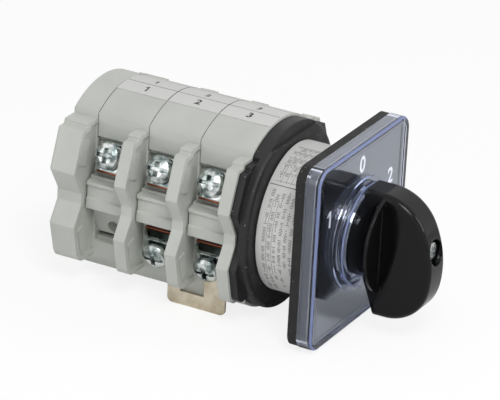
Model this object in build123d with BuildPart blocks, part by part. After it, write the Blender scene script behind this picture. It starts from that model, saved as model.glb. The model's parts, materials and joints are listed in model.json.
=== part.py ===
"""Rotary cam switch for a panel: three contact stages, a latch housing and a front plate with a knob.

Millimetres. The origin is on the switch axis at the plane where the panel lies, against the gasket.
+Y runs to the rear, +Z is up and +X is right as the operator sees it.
"""

import os
from math import atan2, cos, degrees, radians, sin, sqrt

from build123d import *

os.makedirs("parts", exist_ok=True)

# Fits and clearances
running_gap = 0.05  # radial play of a shaft in its bearing
loose_gap = 0.3  # play between parts that pass each other
seat_gap = 0.05  # play of a part that is laid into its seat
hole_play = 0.3  # radial play of a screw in a through hole

# Front plate, holder and gasket
plate_size = 64.0
plate_corner_r = 5.6
cover_depth = 5.5
cover_wall = 2.0
cover_edge_r = 1.0
rim_width = 2.4
rim_step = 0.4
gasket_t = 3.4
gasket_inset = 0.2
gasket_recess = 0.3  # the neck sits in this recess, so the rest of the face seals on the panel
neck_play = 1.0
holder_well = 1.2  # depth of the holder's well under the knob
holder_well_margin = 2.0
legend_t = 0.6
legend_gap = 0.15  # air between the printed face and the clear cover
collar_foot_r = 19.4
collar_foot_t = 0.7
collar_outer_r = 17.7
collar_inner_r = 15.2
collar_height = 2.3
collar_edge_r = 0.6

# Latch housing: neck, round disc and ear plate
neck_r = 25.2
neck_length = 17.1
disc_t = 3.1
disc_inset = 0.8
disc_edge_r = 1.4
disc_step_z = 27.6
disc_step = 0.8
ear_plate_t = 2.6
ear_plate_inset = 1.0
neck_cavity_r = 16.0
neck_front_wall = 2.7
label_t = 0.2
label_margin = 0.5
label_turn = 325.0

# Round body of the stages and the cap
stage_pitch = 19.4
stage_count = 3
cap_t = 9.6
body_r = 31.5
body_arc_rise = 1.5
body_half_w = 18.6
cap_chamfer = 0.6
shell_wall = 2.2
stage_floor_t = 2.0
cavity_half_w = 13.0

# Zigzag ears: the right half of the outline, mirrored to the left
ear_step_x = 24.8
ear_top_z = 25.4
ear_corner_x = 28.2
ear_corner_z = 23.8
ear_wide_x = 33.3
ear_wide_z = 9.8
ear_valley_x = 28.0
ear_valley_top_z = 1.2
ear_valley_low_z = -2.6
ear_low_wide_x = 32.5
ear_low_corner_x = 29.0
ear_low_corner_z = 23.8
ear_low_corner_r = 4.6
ear_round = 0.7
barrier_t = 4.3
rim_band = 1.8
web_recess = 0.7
panel_t = 0.5
panel_gap = 0.9
panel_length = 8.8
panel_width = 4.6

# Terminals, measured along the ear's slope (t) and square to it (s)
bar_end_x = 21.4
bar_end_z = 7.9
bar_t = 1.4
terminal_slope = 22.2  # degrees that the terminals lean inwards
bar_width = 11.9
contact_top_z = 17.4
contact_inner_x = 7.5
contact_tip_x = 10.3
contact_tip_r = 2.2
contact_tip_h = 1.0
tip_taper = 8
pocket_top_z = 18.9
screw_along = 5.9
screw_shank_r = 2.4
screw_tail = 4.2
screw_head_r = 4.8
screw_head_t = 2.9
screw_side_t = 1.1
screw_shoulder_r = 4.2
screw_shoulder_drop = 0.8
screw_crown_r = 2.6
screw_collar_r = 3.3
screw_collar_t = 1.1
clamp_t = 1.3
clamp_lift = 2.6
clamp_flat_half = 2.8
clamp_half_w = 6.0
clamp_wing_lift = 0.3
clamp_start = 0.8
clamp_length = 9.4

# Middle bar between the upper and lower terminals
mid_face_x = 24.3
mid_lip_x = 25.0
mid_half_z = 5.3
mid_top_lip_z = 3.6
mid_low_lip_z = -1.4
mid_chamfer = 0.5
ledge_x = 22.1
ledge_z = 6.2

# Shaft, cams and plungers
shaft_square = 7.0
journal_r = 3.4
journal_length = 4.5
front_journal_r = 5.0
knob_square_start = -3.0
shaft_front = -30.2
knob_screw_core_r = 1.9
cam_mean_r = 10.0
plunger_lift = 2.5  # travel each way for one switching step
switch_angle = 60.0
cam_margin_angle = 6.0
cam_disc_t = 7.0
cam_hub_r = 6.8
nose_gap = 0.2
nose_half = 0.4
stem_half = 4.0
stem_t = 6.0
stem_shoulder_z = 14.0
rib_inner_x = 4.3
rib_outer_x = 9.0
rib_low_z = 13.6
bridge_half = 12.5
bridge_t = 1.5
bridge_w = 6.0
spring_strip = 0.5
spring_half = 8.5
spring_w = 5.0

# Detent
detent_front = 6.0
detent_t = 5.0
detent_tip_r = 12.0
detent_root_r = 9.5
detent_spring_z = 12.6
detent_strip = 0.6
detent_nose_half = 2.4
detent_spring_half = 9.4

# Screws that hold the assembly together
tie_x = 20.4
tie_r = 1.9
tie_head_r = 3.5
tie_head_t = 3.0
tie_counterbore = 4.0
tie_depth = 9.0
panel_screw_pitch = 30.0
panel_screw_r = 1.9
panel_screw_head_r = 3.8
panel_screw_depth = 9.0
slot_w = 1.0
slot_depth = 0.9
recess_slot_w = 1.3
recess_slot_length = 7.2
cross_w = 1.7
cross_length = 5.2
cross_depth = 1.7

# Marker strip and jumper link
strip_half_w = 7.0
strip_t = 0.6
strip_sunk = 0.5
link_t = 0.8
link_low_z = -33.2
link_top_z = -19.2
link_front_y = 29.8
link_rear_y = 51.7
link_notch_front_y = 37.9
link_notch_z = -28.4
link_corner_r = 2.0

# Knob
knob_gap = 0.3
knob_base_r = 13.5
knob_base_t = 3.75
knob_lip_r = 17.6
knob_deck_y = -19.7
knob_lip_t = 1.2
knob_flare = 1.1
deck_rim = 1.9
deck_recess = 0.9
grip_half_w = 5.9
grip_front_y = -37.1
grip_front_z = -6.7
grip_tip_z = 18.2
grip_tail_z = -25.4
grip_nose_r = 17.6
grip_face_r = 33.9
grip_heel_r = 15.3
grip_tip_back_y = -12.0
grip_tail_back_y = -17.0
grip_tail_root_z = -14.4
grip_tail_corner_r = 0.8
grip_edge_r = 2.0
screw_well_r = 4.4
knob_screw_head_y = -34.8
knob_screw_head_r = 3.5
knob_screw_head_t = 2.6

# Places that follow from the sizes above
plate_front = -(gasket_t + cover_depth)
holder_rear = -gasket_t
legend_front = plate_front + cover_wall
holder_front = legend_front + legend_t
neck_front = -gasket_recess
disc_rear = neck_length + disc_t
flange_rear = disc_rear + ear_plate_t
cap_front = flange_rear + stage_count * stage_pitch
cap_rear = cap_front + cap_t
pocket_clear = stage_pitch - barrier_t
terminal_offset = barrier_t + pocket_clear / 2
slope = radians(terminal_slope)
run = sin(slope) / cos(slope)
contact_low_z = contact_top_z - bar_t
cam_rate = plunger_lift / switch_angle
nose_z = cam_mean_r + nose_gap
bridge_low_z = contact_top_z + contact_tip_h + plunger_lift + seat_gap + contact_tip_h
bridge_top_z = bridge_low_z + bridge_t
roof_z = body_r - shell_wall + body_arc_rise


def at(y):
    """A plane square to the switch axis, seen by the operator."""
    return Plane.XZ.offset(-y)


def stage_front(number):
    """Stage 1 is the rearmost, stage 3 is next to the latch housing."""
    return flange_rear + (stage_count - number) * stage_pitch


def terminal_y(number):
    return stage_front(number) + terminal_offset


def bar_plane_x(z, depth=0.0):
    """Where the terminal's outer plane, or one so far inside it, lies at a height."""
    return bar_end_x - (z - bar_end_z) * run - depth / cos(slope)


def terminal_plane(number, side, level):
    """Centre of a terminal's screw on the outer face of its bar, Z outwards and Y away from the middle."""
    x = side * (bar_end_x - screw_along * sin(slope))
    z = level * (bar_end_z + screw_along * cos(slope))
    outward = (side * cos(slope), 0, level * sin(slope))
    return Plane((x, terminal_y(number), z), x_dir=(0, side * level, 0), z_dir=outward)


def body_profile(inset=0.0, half_w=body_half_w):
    """The round body's section: two arcs a little apart, cut to flat sides."""
    radius = body_r - inset
    with BuildSketch() as profile:
        with Locations((0, body_arc_rise), (0, -body_arc_rise)):
            Circle(radius)
        Rectangle(2 * radius, 2 * body_arc_rise)
        Rectangle(2 * half_w, 4 * body_r, mode=Mode.INTERSECT)
    return profile.sketch


def ear_profile(inset=0.0):
    """The zigzag outline of a barrier wall, with a stepped top and round lower corners."""
    right = [
        (ear_step_x - inset, ear_top_z - inset),
        (ear_step_x - inset, ear_corner_z - inset),
        (ear_corner_x - inset, ear_corner_z - inset),
        (ear_wide_x - inset, ear_wide_z),
        (ear_valley_x - inset, ear_valley_top_z),
        (ear_valley_x - inset, ear_valley_low_z),
        (ear_low_wide_x - inset, -ear_wide_z),
        (ear_low_corner_x - inset, inset - ear_low_corner_z),
    ]
    left = [(-x, z) for x, z in reversed(right)]
    with BuildSketch() as profile:
        with BuildLine():
            Polyline(*right, *left, close=True)
        make_face()
        low_corners = profile.vertices().group_by(Axis.Y)[0]
        fillet(low_corners, ear_low_corner_r - inset)
        sharp = [corner for corner in profile.vertices() if corner.Y > -ear_wide_z - seat_gap]
        fillet(sharp, ear_round)
    return profile.sketch


def ear_panels():
    """Centre and lean of the panel beside each terminal, set in from the middle of the ear's edge."""
    edges = [
        ((ear_corner_x, ear_corner_z), (ear_wide_x, ear_wide_z)),
        ((ear_low_corner_x, -ear_low_corner_z), (ear_low_wide_x, -ear_wide_z)),
    ]
    depth = rim_band + panel_gap + panel_width / 2
    panels = []
    for (x0, z0), (x1, z1) in edges:
        lean = atan2(x1 - x0, abs(z1 - z0))
        level = 1 if z0 > 0 else -1
        x = (x0 + x1) / 2 - depth * cos(lean)
        z = (z0 + z1) / 2 - level * depth * sin(lean)
        panels += [(side * x, z, side * level * degrees(lean)) for side in (-1, 1)]
    return panels


def seat_profile():
    """Terminal seats, ledges and middle bar of one side, mirrored to the other."""
    seat_top = contact_top_z + seat_gap
    foot = (bar_plane_x(bar_end_z, bar_t) + bar_t * sin(slope) * run, bar_end_z - bar_t * sin(slope))
    upper = [
        (cavity_half_w - shell_wall, pocket_top_z),
        (bar_plane_x(pocket_top_z), pocket_top_z),
        (bar_plane_x(seat_top), seat_top),
        (bar_plane_x(seat_top, bar_t), seat_top),
        (foot[0], foot[1]),
        (foot[0], ledge_z),
        (ledge_x, ledge_z),
        (ledge_x, mid_half_z),
        (mid_lip_x, mid_half_z - mid_chamfer),
        (mid_lip_x, mid_top_lip_z),
    ]
    lower = [(x, -z) for x, z in reversed(upper[:-1])]
    middle = [
        (mid_face_x, mid_top_lip_z - mid_chamfer),
        (mid_face_x, mid_low_lip_z + mid_chamfer),
        (mid_lip_x, mid_low_lip_z),
    ]
    with BuildSketch() as profile:
        with BuildLine():
            Polyline(*upper, *middle, *lower, close=True)
        make_face()
        mirror(about=Plane.YZ)
    return profile.sketch


def ear_relief(y):
    """Sinks the ears' front face inside a rim, and raises a panel beside each terminal."""
    with BuildSketch(at(y)) as web:
        add(ear_profile(rim_band))
        add(body_profile(-loose_gap), mode=Mode.SUBTRACT)
    extrude(web.sketch, amount=-web_recess, mode=Mode.SUBTRACT)
    with BuildSketch(at(y + web_recess)) as panels:
        for x, z, lean in ear_panels():
            with Locations(Location((x, z), lean)):
                RectangleRounded(panel_width, panel_length, ear_round)
    extrude(panels.sketch, amount=panel_t)


def strip_recess(y, length):
    """A shallow bed for the marker strip along the top."""
    with BuildSketch(at(y)) as bed:
        with Locations((0, body_arc_rise)):
            Circle(body_r + strip_t)
            Circle(body_r - strip_sunk, mode=Mode.SUBTRACT)
        with Locations((0, body_r)):
            Rectangle(2 * (strip_half_w + seat_gap), body_r, mode=Mode.INTERSECT)
    extrude(bed.sketch, amount=-length, mode=Mode.SUBTRACT)


def tie_holes(y, length, radius):
    with BuildSketch(at(y)) as holes:
        with Locations((-tie_x, 0), (tie_x, 0)):
            Circle(radius)
    extrude(holes.sketch, amount=-length, mode=Mode.SUBTRACT)


def make_stage(number):
    """One contact stage, open to the rear. All stages use the same moulding."""
    front = stage_front(number)
    middle = front + barrier_t
    with BuildPart() as housing:
        with BuildSketch(at(front)):
            add(body_profile())
        extrude(amount=-stage_pitch)
        # Terminal pockets on both sides, then the seats and the middle bar in them
        with BuildSketch(at(middle)):
            with Locations((-body_half_w, 0), (body_half_w, 0)):
                Rectangle(2 * (body_half_w - cavity_half_w + shell_wall), 2 * pocket_top_z)
        extrude(amount=-pocket_clear, mode=Mode.SUBTRACT)
        with BuildSketch(at(middle)):
            add(seat_profile())
        extrude(amount=-pocket_clear)
        with BuildSketch(at(front)):
            add(ear_profile())
        extrude(amount=-barrier_t)
        ear_relief(front)
        # Inner chamber, open to the rear
        with BuildSketch(at(front + stage_floor_t)):
            add(body_profile(shell_wall, cavity_half_w))
        extrude(amount=-stage_pitch, mode=Mode.SUBTRACT)
        # Guide ribs between the plunger and the fixed contacts
        rib_length = terminal_offset + bar_width / 2 - stage_floor_t
        with BuildSketch(at(front + stage_floor_t)):
            for x in (-1, 1):
                for z in (-1, 1):
                    with Locations((x * (rib_inner_x + rib_outer_x) / 2, z * (rib_low_z + contact_low_z) / 2)):
                        Rectangle(rib_outer_x - rib_inner_x, contact_low_z - rib_low_z - seat_gap)
        extrude(amount=-rib_length)
        # Slots that let the fixed contacts in from the rear
        slot_front = terminal_offset - bar_width / 2 - seat_gap
        with BuildSketch(at(front + slot_front)):
            for x in (-1, 1):
                for z in (-1, 1):
                    with Locations((x * (cavity_half_w + shell_wall), z * (contact_top_z - bar_t / 2))):
                        Rectangle(4 * shell_wall, bar_t + 2 * seat_gap)
        extrude(amount=-stage_pitch, mode=Mode.SUBTRACT)
        # Bore for the shaft and clearance for the screw tails
        with Locations(at(front)):
            Hole(shaft_square / sqrt(2) + loose_gap, depth=2 * barrier_t)
        for side in (-1, 1):
            for level in (-1, 1):
                with Locations(terminal_plane(number, side, level).offset(-bar_t)):
                    Cylinder(
                        screw_shank_r + hole_play,
                        screw_tail - bar_t + loose_gap,
                        align=(Align.CENTER, Align.CENTER, Align.MAX),
                        mode=Mode.SUBTRACT,
                    )
        tie_holes(front, stage_pitch, tie_r + hole_play)
        strip_recess(front, stage_pitch)
    return housing.part


def make_rear_cap():
    """The end cap, with the rear bearing and the counterbores for the tie screws."""
    with BuildPart() as cap:
        with BuildSketch(at(cap_front)):
            add(body_profile())
            add(ear_profile())
        extrude(amount=-cap_t)
        rim = cap.faces().sort_by(Axis.Y)[-1].edges()
        chamfer(rim, cap_chamfer)
        ear_relief(cap_front)
        with BuildSketch(at(cap_front)):
            add(body_profile(shell_wall, cavity_half_w))
        extrude(amount=-(cap_t - journal_length - shell_wall), mode=Mode.SUBTRACT)
        with Locations(at(cap_front)):
            Hole(journal_r + running_gap, depth=cap_t - shell_wall + loose_gap)
        tie_holes(cap_front, cap_t, tie_r + hole_play)
        tie_holes(cap_rear - tie_counterbore, cap_t, tie_head_r + hole_play)
    return cap.part


def make_latch_housing():
    """Neck, round disc and ear plate in one moulding, with the detent chamber open to the rear."""
    with BuildPart() as latch:
        with BuildSketch(at(neck_length)):
            add(body_profile(disc_inset, body_r))
        extrude(amount=-disc_t)
        fillet(latch.faces().sort_by(Axis.Y)[0].edges(), disc_edge_r)
        # The disc's top and bottom are stepped back a little
        with BuildSketch(at(neck_length)):
            with Locations((0, disc_step_z + body_r), (0, -disc_step_z - body_r)):
                Rectangle(4 * body_r, 2 * body_r)
        extrude(amount=-disc_step, mode=Mode.SUBTRACT)
        with BuildSketch(at(neck_front)):
            Circle(neck_r)
        extrude(amount=-(disc_rear - neck_front))
        with BuildSketch(at(disc_rear)):
            add(body_profile(disc_inset))
            add(ear_profile(ear_plate_inset))
        extrude(amount=-ear_plate_t)
        # Detent chamber, with a ledge on each side that carries the detent springs
        with BuildSketch(at(neck_front + neck_front_wall)):
            Circle(neck_cavity_r)
        extrude(amount=-(flange_rear - neck_front), mode=Mode.SUBTRACT)
        with Locations(at(neck_front)):
            Hole(front_journal_r + running_gap, depth=2 * neck_front_wall)
        # Blind holes for the tie screws and the panel screws
        tie_holes(flange_rear - tie_depth - loose_gap, flange_rear, tie_r + seat_gap)
        with BuildSketch(at(neck_front)):
            with GridLocations(panel_screw_pitch, panel_screw_pitch, 2, 2):
                Circle(panel_screw_r + seat_gap)
        extrude(amount=-(panel_screw_depth + loose_gap), mode=Mode.SUBTRACT)
    return latch.part


def make_fixed_contact(number, side, level):
    """A plated copper bar: terminal outside, contact tip inside."""
    inner_foot_z = bar_end_z - bar_t * sin(slope)
    points = [
        (bar_end_x, bar_end_z),
        (bar_plane_x(contact_top_z), contact_top_z),
        (contact_inner_x, contact_top_z),
        (contact_inner_x, contact_low_z),
        (bar_plane_x(contact_low_z, bar_t), contact_low_z),
        (bar_plane_x(inner_foot_z, bar_t), inner_foot_z),
    ]
    with BuildPart() as contact:
        with BuildSketch(at(terminal_y(number) - bar_width / 2)):
            with BuildLine():
                Polyline(*[(side * x, level * z) for x, z in points], close=True)
            make_face()
        extrude(amount=-bar_width)
        tip = Plane((side * contact_tip_x, terminal_y(number), level * contact_top_z), z_dir=(0, 0, level))
        with BuildSketch(tip):
            Circle(contact_tip_r)
        extrude(amount=contact_tip_h, taper=tip_taper)
        with Locations(terminal_plane(number, side, level)):
            Hole(screw_shank_r + seat_gap, depth=bar_t * 2)
    return contact.part


def make_clamp():
    """A clamp plate in the terminal's own plane, arched so that a wire can go under it."""
    top = clamp_lift + clamp_t
    along = Plane.XZ.offset(screw_along - clamp_start)
    with BuildPart() as clamp:
        with BuildSketch(along):
            with BuildLine():
                Line((0, top), (clamp_flat_half, top))
                TangentArc((clamp_flat_half, top), (clamp_half_w, clamp_wing_lift), tangent=(1, 0))
                Line((clamp_half_w, clamp_wing_lift), (clamp_half_w - clamp_t, clamp_wing_lift))
                TangentArc(
                    (clamp_flat_half, clamp_lift),
                    (clamp_half_w - clamp_t, clamp_wing_lift),
                    tangent=(1, 0),
                )
                Line((clamp_flat_half, clamp_lift), (0, clamp_lift))
                Line((0, clamp_lift), (0, top))
            make_face()
            mirror(about=Plane.YZ)
        extrude(amount=-clamp_length)
        Hole(screw_shank_r + hole_play)
    return clamp.part


def make_terminal_screw():
    """A pan-head screw with its collar, along Z from the terminal bar's outer face."""
    under_head = clamp_lift + clamp_t + screw_collar_t
    top = under_head + screw_head_t
    with BuildPart() as screw:
        with BuildSketch(Plane.XZ):
            with BuildLine():
                Polyline(
                    (0, -screw_tail),
                    (screw_shank_r, -screw_tail),
                    (screw_shank_r, clamp_lift + clamp_t),
                    (screw_collar_r, clamp_lift + clamp_t),
                    (screw_collar_r, under_head),
                    (screw_head_r, under_head),
                    (screw_head_r, under_head + screw_side_t),
                    (screw_shoulder_r, top - screw_shoulder_drop),
                    (screw_crown_r, top),
                    (0, top),
                    close=True,
                )
            make_face()
        revolve(axis=Axis.Z)
        with BuildSketch(Plane.XY.offset(top)):
            Rectangle(recess_slot_length, recess_slot_w)
            Rectangle(cross_w, cross_length)
        extrude(amount=-cross_depth, mode=Mode.SUBTRACT)
    return screw.part


def cam_radius(angle, lift_sign):
    """Height of the cam under a plunger, angle counted from the plunger's own middle."""
    return cam_mean_r - lift_sign * cam_rate * angle


def cam_point(angle, radius):
    """A point at an angle counted clockwise from the top, as the operator sees it."""
    return (radius * sin(radians(angle)), radius * cos(radians(angle)))


def cam_sector(middle, lift_sign):
    """Points of an even spiral under one plunger."""
    reach = switch_angle + cam_margin_angle
    steps = 8
    angles = [-reach + 2 * reach * step / steps for step in range(steps + 1)]
    return [cam_point(middle + angle, cam_radius(angle, lift_sign)) for angle in angles]


def make_cam(number, two_rows):
    """A cam with one even spiral for each plunger. The lower spiral runs the other way."""
    upper = cam_sector(0, 1)
    lower = cam_sector(180, -1)
    reach = switch_angle + cam_margin_angle
    rest_end = 360 - 2 * reach
    rest_middle = (reach + rest_end) / 2
    small = cam_radius(reach, 1)
    large = cam_radius(-reach, 1)
    y_mid = terminal_y(number)
    with BuildPart() as cam:
        with BuildSketch(at(y_mid - cam_disc_t / 2)):
            with BuildLine():
                top = Spline(*upper)
                if two_rows:
                    ThreePointArc(top @ 1, cam_point(90, small), lower[0])
                    bottom = Spline(*lower)
                    ThreePointArc(bottom @ 1, cam_point(270, large), top @ 0)
                else:
                    low = ThreePointArc(top @ 1, cam_point(rest_middle, small), cam_point(rest_end, small))
                    Line(low @ 1, top @ 0)
            make_face()
        extrude(amount=-cam_disc_t)
        hub_front = stage_front(number) + stage_floor_t + loose_gap
        with BuildSketch(at(hub_front)):
            Circle(cam_hub_r)
        extrude(amount=-(stage_pitch - stage_floor_t - 2 * loose_gap))
        with BuildSketch(at(hub_front)):
            Rectangle(shaft_square + 2 * running_gap, shaft_square + 2 * running_gap)
        extrude(amount=-stage_pitch, mode=Mode.SUBTRACT)
    return cam.part


def make_plunger(number, level):
    """A plunger from the cam's surface to the bridge."""
    points = [
        (nose_half, nose_z),
        (stem_half, stem_shoulder_z),
        (stem_half, bridge_low_z),
    ]
    with BuildPart() as plunger:
        with BuildSketch(at(terminal_y(number) - stem_t / 2)):
            with BuildLine():
                Polyline(
                    *[(x, level * z) for x, z in points],
                    *[(-x, level * z) for x, z in reversed(points)],
                    close=True,
                )
            make_face()
        extrude(amount=-stem_t)
    return plunger.part


def make_bridge(number, level):
    """The moving contact: a copper bridge with a tip at each end."""
    with BuildPart() as bridge:
        with BuildSketch(at(terminal_y(number) - bridge_w / 2)):
            with Locations((0, level * (bridge_low_z + bridge_t / 2))):
                Rectangle(2 * bridge_half, bridge_t)
        extrude(amount=-bridge_w)
        for side in (-1, 1):
            tip = Plane((side * contact_tip_x, terminal_y(number), level * bridge_low_z), z_dir=(0, 0, -level))
            with BuildSketch(tip):
                Circle(contact_tip_r)
            extrude(amount=contact_tip_h, taper=tip_taper)
    return bridge.part


def make_contact_spring(number, level):
    """A bowed strip spring between the bridge and the roof of the chamber."""
    low = bridge_top_z + loose_gap
    high = roof_z - loose_gap
    with BuildPart() as spring:
        with BuildSketch(at(terminal_y(number) - spring_w / 2)):
            with BuildLine():
                outer = ThreePointArc((-spring_half, level * low), (0, level * high), (spring_half, level * low))
                inner = ThreePointArc(
                    (-spring_half + spring_strip, level * low),
                    (0, level * (high - spring_strip)),
                    (spring_half - spring_strip, level * low),
                )
                Line(outer @ 0, inner @ 0)
                Line(outer @ 1, inner @ 1)
            make_face()
        extrude(amount=-spring_w)
    return spring.part


def make_shaft():
    """The square shaft, round in its front and rear bearings and tapped for the knob's screw."""
    rear = cap_rear - shell_wall
    square_end = rear - journal_length - loose_gap
    with BuildPart() as shaft:
        with BuildSketch(at(shaft_front)):
            Rectangle(shaft_square, shaft_square)
        extrude(amount=-(square_end - shaft_front))
        with BuildSketch(at(square_end)):
            Circle(journal_r)
        extrude(amount=-(rear - square_end))
        with BuildSketch(at(knob_square_start)):
            Circle(front_journal_r)
        extrude(amount=-(detent_front - loose_gap - knob_square_start))
        with Locations(at(shaft_front)):
            Hole(knob_screw_core_r + seat_gap, depth=-shaft_front / 3)
    return shaft.part


def make_detent_wheel():
    """A six-lobed star: one notch every switching angle."""
    mean = (detent_tip_r + detent_root_r) / 2
    half_lobe = switch_angle / 4
    with BuildPart() as wheel:
        with BuildSketch(at(detent_front)):
            with BuildLine():
                for step in range(round(360 / switch_angle)):
                    notch = step * switch_angle
                    tip = notch + switch_angle / 2
                    ThreePointArc(
                        cam_point(notch - half_lobe, mean),
                        cam_point(notch, detent_root_r),
                        cam_point(notch + half_lobe, mean),
                    )
                    ThreePointArc(
                        cam_point(tip - half_lobe, mean),
                        cam_point(tip, detent_tip_r),
                        cam_point(tip + half_lobe, mean),
                    )
            make_face()
        extrude(amount=-detent_t)
        hub_rear = flange_rear - loose_gap
        with BuildSketch(at(detent_front)):
            Circle(cam_hub_r)
        extrude(amount=-(hub_rear - detent_front))
        with BuildSketch(at(detent_front)):
            Rectangle(shaft_square + 2 * running_gap, shaft_square + 2 * running_gap)
        extrude(amount=-flange_rear, mode=Mode.SUBTRACT)
    return wheel.part


def make_detent_spring(level):
    """A flat strip spring with a nose that drops into the wheel's notch."""
    nose = detent_root_r + detent_strip / 2 + nose_gap
    path = [
        (-detent_spring_half, detent_spring_z),
        (-detent_nose_half, detent_spring_z),
        (0, nose),
        (detent_nose_half, detent_spring_z),
        (detent_spring_half, detent_spring_z),
    ]
    half = detent_strip / 2
    with BuildPart() as spring:
        with BuildSketch(at(detent_front + loose_gap)):
            with BuildLine():
                Polyline(
                    *[(x, level * (z + half)) for x, z in path],
                    *[(x, level * (z - half)) for x, z in reversed(path)],
                    close=True,
                )
            make_face()
        extrude(amount=-(detent_t - 2 * loose_gap))
    return spring.part


def make_rating_label():
    """A paper label wrapped round the neck, open on the side away from the terminals in front."""
    inner = neck_r + running_gap
    with BuildPart() as label:
        with BuildSketch(Plane.XY):
            with Locations((inner + label_t / 2, neck_length / 2)):
                Rectangle(label_t, neck_length - 2 * label_margin)
        revolve(axis=Axis.Y, revolution_arc=label_turn)
    return label.part.rotate(Axis.Y, (360 - label_turn) / 2)


def make_marker_strip():
    """The white strip in its bed along the top of the three stages."""
    length = stage_count * stage_pitch
    with BuildPart() as strip:
        with BuildSketch(at(flange_rear + seat_gap)):
            with Locations((0, body_arc_rise)):
                Circle(body_r - strip_sunk + strip_t)
                Circle(body_r - strip_sunk + running_gap, mode=Mode.SUBTRACT)
            with Locations((0, body_r)):
                Rectangle(2 * strip_half_w, body_r, mode=Mode.INTERSECT)
        extrude(amount=-(length - 2 * seat_gap))
    return strip.part


def make_gasket():
    """The rubber sheet between plate and panel, recessed where the neck presses on it."""
    with BuildPart() as gasket:
        with BuildSketch(at(-gasket_t)):
            side = plate_size - 2 * gasket_inset
            RectangleRounded(side, side, plate_corner_r - gasket_inset)
            Circle(front_journal_r + 2 * hole_play, mode=Mode.SUBTRACT)
            with GridLocations(panel_screw_pitch, panel_screw_pitch, 2, 2):
                Circle(panel_screw_r + hole_play, mode=Mode.SUBTRACT)
        extrude(amount=-gasket_t)
        with BuildSketch(at(-gasket_recess)):
            Circle(neck_r + neck_play)
        extrude(amount=-gasket_recess, mode=Mode.SUBTRACT)
    return gasket.part


def make_plate_holder():
    """The black frame inside the clear cover, countersunk for the panel screws."""
    side = plate_size - 2 * cover_wall - 2 * seat_gap
    with BuildPart() as holder:
        with BuildSketch(at(holder_front)):
            RectangleRounded(side, side, plate_corner_r - cover_wall)
            Circle(knob_base_r + loose_gap, mode=Mode.SUBTRACT)
        extrude(amount=-(holder_rear - holder_front))
        with BuildSketch(at(holder_front + holder_well)):
            Circle(knob_base_r + holder_well_margin)
            Circle(front_journal_r + 2 * hole_play, mode=Mode.SUBTRACT)
        extrude(amount=-(holder_rear - holder_front - holder_well))
        with Locations(at(holder_front)):
            with GridLocations(panel_screw_pitch, panel_screw_pitch, 2, 2):
                CounterSinkHole(panel_screw_r + hole_play, panel_screw_head_r + hole_play, counter_sink_angle=90)
    return holder.part


def make_legend_plate():
    """The printed sheet under the clear cover."""
    side = plate_size - 2 * cover_wall - 2 * seat_gap
    with BuildPart() as legend:
        with BuildSketch(at(legend_front + legend_gap)):
            RectangleRounded(side, side, plate_corner_r - cover_wall)
            Circle(knob_base_r + loose_gap, mode=Mode.SUBTRACT)
        extrude(amount=-(legend_t - legend_gap))
    return legend.part


def make_cover():
    """The clear cover: front wall, skirt, raised edge rim and collar round the knob."""
    inner = plate_size - 2 * cover_wall
    with BuildPart() as cover:
        with BuildSketch(at(plate_front)):
            RectangleRounded(plate_size, plate_size, plate_corner_r)
        extrude(amount=seat_gap - cover_depth)
        fillet(cover.faces().sort_by(Axis.Y)[0].edges(), cover_edge_r)
        with BuildSketch(at(legend_front)):
            RectangleRounded(inner, inner, plate_corner_r - cover_wall)
        extrude(amount=-cover_depth, mode=Mode.SUBTRACT)
        window = plate_size - 2 * rim_width
        with BuildSketch(at(plate_front)):
            RectangleRounded(window, window, plate_corner_r - rim_width)
        extrude(amount=-rim_step, mode=Mode.SUBTRACT)
        with BuildSketch(at(plate_front + rim_step)):
            Circle(collar_foot_r)
        extrude(amount=collar_foot_t + rim_step)
        with BuildSketch(at(plate_front)):
            Circle(collar_outer_r)
        extrude(amount=collar_height)
        fillet(cover.faces().sort_by(Axis.Y)[0].edges(), collar_edge_r)
        with BuildSketch(at(plate_front - collar_height)):
            Circle(collar_inner_r)
        extrude(amount=-(collar_height + rim_step), mode=Mode.SUBTRACT)
        with BuildSketch(at(plate_front - collar_height)):
            Circle(knob_base_r + loose_gap)
        extrude(amount=-2 * cover_depth, mode=Mode.SUBTRACT)
    return cover.part


def grip_arc(radius, end_z, level):
    """Centre of the arc that leads from the grip's straight end into its front face, and where they meet."""
    face_y = grip_front_y + grip_face_r
    z = end_z - level * radius
    reach = grip_face_r - radius
    y = face_y - sqrt(reach**2 - (z - grip_front_z) ** 2)
    share = grip_face_r / reach
    return y, (face_y + (y - face_y) * share, grip_front_z + (z - grip_front_z) * share)


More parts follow.
